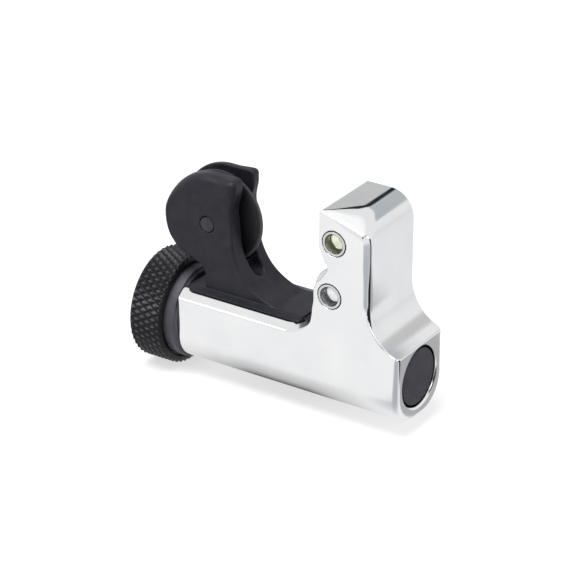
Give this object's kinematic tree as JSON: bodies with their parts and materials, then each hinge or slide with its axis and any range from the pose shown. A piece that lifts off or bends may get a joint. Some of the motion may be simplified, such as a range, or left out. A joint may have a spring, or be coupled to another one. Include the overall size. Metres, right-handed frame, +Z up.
{
  "type": "tube cutter",
  "caption": "Screw-fed tube cutter with a chromed frame, a sliding fork that carries the cutter wheel, rollers that back the tube and a knurled feed knob.",
  "frame": {"origin": "centre of the part's box in plan, at the knob's lowest point", "axes": "+X along the bore from the knob to the plugged end, +Z up towards the top of the upright, -Y is the side the picture shows"},
  "size_m": [0.059, 0.0224, 0.044],
  "materials": {
    "frame_chrome": "polished chrome plate over a cast frame",
    "black_plastic": "matt moulded black",
    "black_collar": "turned and blackened, satin",
    "brass": "plain turned",
    "roller_steel": "hardened and ground",
    "pin_zinc": "zinc plated, flush with the cheeks",
    "slide_black": "black coated casting, fine grain",
    "wheel_steel": "hardened and ground",
    "black_steel": "blackened steel",
    "washer_steel": "stamped",
    "screw_steel": "zinc plated",
    "knob_black": "diamond knurled and blackened"
  },
  "bodies": {
    "frame": {"frame": "frame_chrome", "end_plug": "black_plastic", "screw_bushing": "black_collar", "thrust_washer": "brass", "upper_roller_pin": "pin_zinc", "lower_roller_pin": "pin_zinc"},
    "knob": {"knob": "knob_black", "feed_screw": "screw_steel", "knob_screw": "screw_steel", "lock_washer": "washer_steel"},
    "slide": {"slide": "slide_black", "feed_nut": "brass", "wheel_pin": "black_steel", "wheel_washers": "washer_steel", "wheel_pin_clip": "black_steel"},
    "cutter_wheel": {"cutter_wheel": "wheel_steel"},
    "upper_roller": {"upper_roller": "roller_steel"},
    "lower_roller": {"lower_roller": "roller_steel"}
  },
  "joints": [
    {"name": "knob_turn", "type": "hinge", "parent": "frame", "child": "knob", "pos_m": [-0.0258, 0, 0.01117], "axis": [1, 0, 0], "range_deg": [0, 5902]},
    {"name": "slide_feed", "type": "slide", "parent": "frame", "child": "slide", "axis": [1, 0, 0], "range_m": [0, 0.0164]},
    {"name": "wheel_spin", "type": "hinge", "parent": "slide", "child": "cutter_wheel", "pos_m": [-0.01502, 0, 0.03282], "axis": [0, 1, 0], "continuous": true},
    {"name": "upper_roller_spin", "type": "hinge", "parent": "frame", "child": "upper_roller", "pos_m": [0.01543, 0, 0.03797], "axis": [0, 1, 0], "continuous": true},
    {"name": "lower_roller_spin", "type": "hinge", "parent": "frame", "child": "lower_roller", "pos_m": [0.01453, 0, 0.02707], "axis": [0, 1, 0], "continuous": true}
  ],
  "couplings": [
    {"joint": "slide_feed", "follows": "knob_turn", "m_per_rad": 0.00015915}
  ]
}
